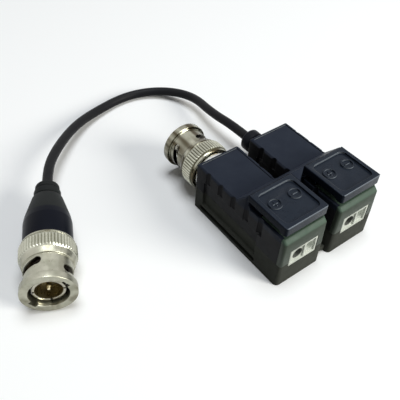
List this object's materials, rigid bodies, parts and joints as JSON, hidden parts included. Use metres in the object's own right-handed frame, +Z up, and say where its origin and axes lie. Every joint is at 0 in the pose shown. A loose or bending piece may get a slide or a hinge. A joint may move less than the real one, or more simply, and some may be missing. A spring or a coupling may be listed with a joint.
{
  "type": "video balun pair",
  "caption": "Compact passive video baluns clipped side by side, with press levers over spring wire clamps, a fixed bayonet plug and a short pigtail plug.",
  "frame": {"origin": "on the surface the pair stands on, in the middle of the two housings and the fixed plug", "axes": "+X across the pair from the left unit to the right, +Y towards the plugs, +Z up"},
  "size_m": [0.097, 0.0949, 0.0215],
  "materials": {
    "housing_plastic": "satin moulded black",
    "lever_plastic": "satin moulded black",
    "terminal_plastic": "satin moulded dark green",
    "guide_plastic": "satin moulded white",
    "spring_steel": "bright rolled",
    "tinned_contact": "tin plated",
    "board_laminate": "green solder mask",
    "ferrite": "matte ferrite",
    "winding_wire": "enamelled copper",
    "component_body": "gloss lacquer",
    "nickel_plate": "nickel plated, polished",
    "white_insulator": "plain white",
    "gold_contact": "gold plated",
    "soft_gasket": "soft matte",
    "boot_rubber": "satin moulded black",
    "gland_plastic": "satin moulded black",
    "cord_jacket": "satin extruded black"
  },
  "bodies": {
    "pair": {"left_lower_shell": "housing_plastic", "left_upper_shell": "housing_plastic", "left_terminal_block": "terminal_plastic", "left_wire_guide": "guide_plastic", "left_positive_clamp_spring": "spring_steel", "left_positive_contact_bar": "tinned_contact", "left_negative_clamp_spring": "spring_steel", "left_negative_contact_bar": "tinned_contact", "left_circuit_board": "board_laminate", "left_transformer_core": "ferrite", "left_transformer_winding": "winding_wire", "left_surge_suppressor": "component_body", "right_lower_shell": "housing_plastic", "right_upper_shell": "housing_plastic", "right_terminal_block": "terminal_plastic", "right_wire_guide": "guide_plastic", "right_positive_clamp_spring": "spring_steel", "right_positive_contact_bar": "tinned_contact", "right_negative_clamp_spring": "spring_steel", "right_negative_contact_bar": "tinned_contact", "right_circuit_board": "board_laminate", "right_transformer_core": "ferrite", "right_transformer_winding": "winding_wire", "right_surge_suppressor": "component_body", "joining_clip": "housing_plastic", "fixed_plug_body": "nickel_plate", "fixed_insulator": "white_insulator", "fixed_centre_pin": "gold_contact", "fixed_gasket": "soft_gasket", "free_plug_body": "nickel_plate", "free_insulator": "white_insulator", "free_centre_pin": "gold_contact", "free_gasket": "soft_gasket", "fixed_rear_collar": "nickel_plate", "fixed_mounting_nut": "nickel_plate", "free_crimp_ferrule": "nickel_plate", "free_strain_boot": "boot_rubber", "cord_gland": "gland_plastic", "pigtail_cord": "cord_jacket"},
    "left_lever": {"left_press_lever": "lever_plastic"},
    "right_lever": {"right_press_lever": "lever_plastic"},
    "fixed_float": {"fixed_spring_washer": "spring_steel"},
    "fixed_sleeve": {"fixed_coupling_sleeve": "nickel_plate"},
    "free_float": {"free_spring_washer": "spring_steel"},
    "free_sleeve": {"free_coupling_sleeve": "nickel_plate"}
  },
  "joints": [
    {"name": "left_lever_press", "type": "hinge", "parent": "pair", "child": "left_lever", "pos_m": [-0.01235, -0.01465, 0.015], "axis": [1, 0, 0], "range_deg": [0, 5.5], "stiffness_Nm_per_rad": 0.004, "springref_deg": -5.73},
    {"name": "right_lever_press", "type": "hinge", "parent": "pair", "child": "right_lever", "pos_m": [0.00675, -0.01465, 0.015], "axis": [1, 0, 0], "range_deg": [0, 5.5], "stiffness_Nm_per_rad": 0.004, "springref_deg": -5.73},
    {"name": "fixed_sleeve_float", "type": "slide", "parent": "pair", "child": "fixed_float", "axis": [0, 1, 0], "range_m": [0, 0.0004], "stiffness_N_per_m": 1000, "springref_m": -0.0002},
    {"name": "fixed_sleeve_turn", "type": "hinge", "parent": "fixed_float", "child": "fixed_sleeve", "pos_m": [-0.0128, 0.0266, 0.00884], "axis": [0, 1, 0], "continuous": true},
    {"name": "free_sleeve_float", "type": "slide", "parent": "pair", "child": "free_float", "axis": [-0.412, -0.9112, 0], "range_m": [0, 0.0004], "stiffness_N_per_m": 1000, "springref_m": -0.0002},
    {"name": "free_sleeve_turn", "type": "hinge", "parent": "free_float", "child": "free_sleeve", "pos_m": [-0.07032, 0.00001, 0.0074], "axis": [-0.412, -0.9112, 0], "continuous": true}
  ]
}
